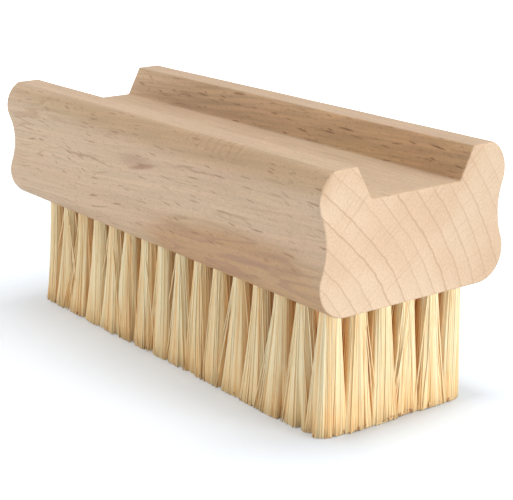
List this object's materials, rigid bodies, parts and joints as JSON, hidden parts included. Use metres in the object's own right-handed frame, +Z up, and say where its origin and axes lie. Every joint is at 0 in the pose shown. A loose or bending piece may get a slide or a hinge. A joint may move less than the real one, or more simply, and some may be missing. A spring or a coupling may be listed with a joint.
{
  "type": "leather cleaning brush",
  "caption": "Beech hand brush with a flared grip groove along the top, shallow finger scoops on its long sides and straight pale fibre tufts trimmed flat below.",
  "frame": {"origin": "middle of the area that the brush stands on, in the plane of the trimmed fibre tips", "axes": "+X along the brush, +Y across it, +Z up from the fibre tips to the grip groove"},
  "size_m": [0.12, 0.0466, 0.0535],
  "materials": {
    "beech": "matte",
    "plant_fibre": "matte",
    "anchor_wire": "satin"
  },
  "bodies": {
    "root": {"wooden_block": "beech", "tuft_field_1": "plant_fibre", "tuft_field_2": "plant_fibre", "tuft_field_3": "plant_fibre", "tuft_field_4": "plant_fibre", "anchor_row_01": "anchor_wire", "anchor_row_02": "anchor_wire", "anchor_row_03": "anchor_wire", "anchor_row_04": "anchor_wire", "anchor_row_05": "anchor_wire", "anchor_row_06": "anchor_wire", "anchor_row_07": "anchor_wire", "anchor_row_08": "anchor_wire", "anchor_row_09": "anchor_wire", "anchor_row_10": "anchor_wire", "anchor_row_11": "anchor_wire", "anchor_row_12": "anchor_wire", "anchor_row_13": "anchor_wire", "anchor_row_14": "anchor_wire", "anchor_row_15": "anchor_wire", "anchor_row_16": "anchor_wire"}
  },
  "joints": []
}
